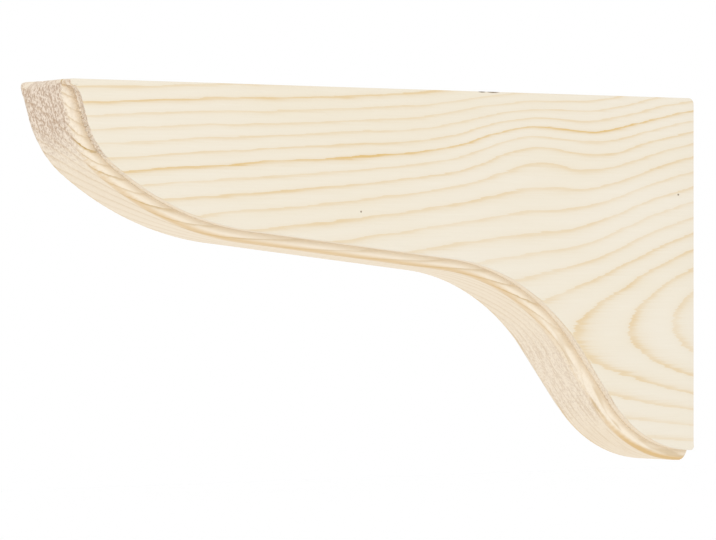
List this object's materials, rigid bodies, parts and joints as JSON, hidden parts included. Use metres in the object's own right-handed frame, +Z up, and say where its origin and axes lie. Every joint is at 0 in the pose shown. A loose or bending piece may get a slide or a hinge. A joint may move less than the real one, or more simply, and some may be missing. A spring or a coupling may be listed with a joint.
{
  "type": "wooden corbel bracket",
  "caption": "Solid pine corbel bracket with an ogee lower edge and a stepped quarter-round moulding, to fix to a wall under a shelf.",
  "frame": {"origin": "centre of the flat wall face", "axes": "+X out of the wall face into the wall, so the bracket stands out along -X; +Y through the board's thickness; +Z up, towards the shelf"},
  "size_m": [0.25, 0.031, 0.12],
  "materials": {
    "pine": "raw planed pine, unfinished, with sawn and routed edges"
  },
  "bodies": {
    "root": {"bracket": "pine"}
  },
  "joints": []
}
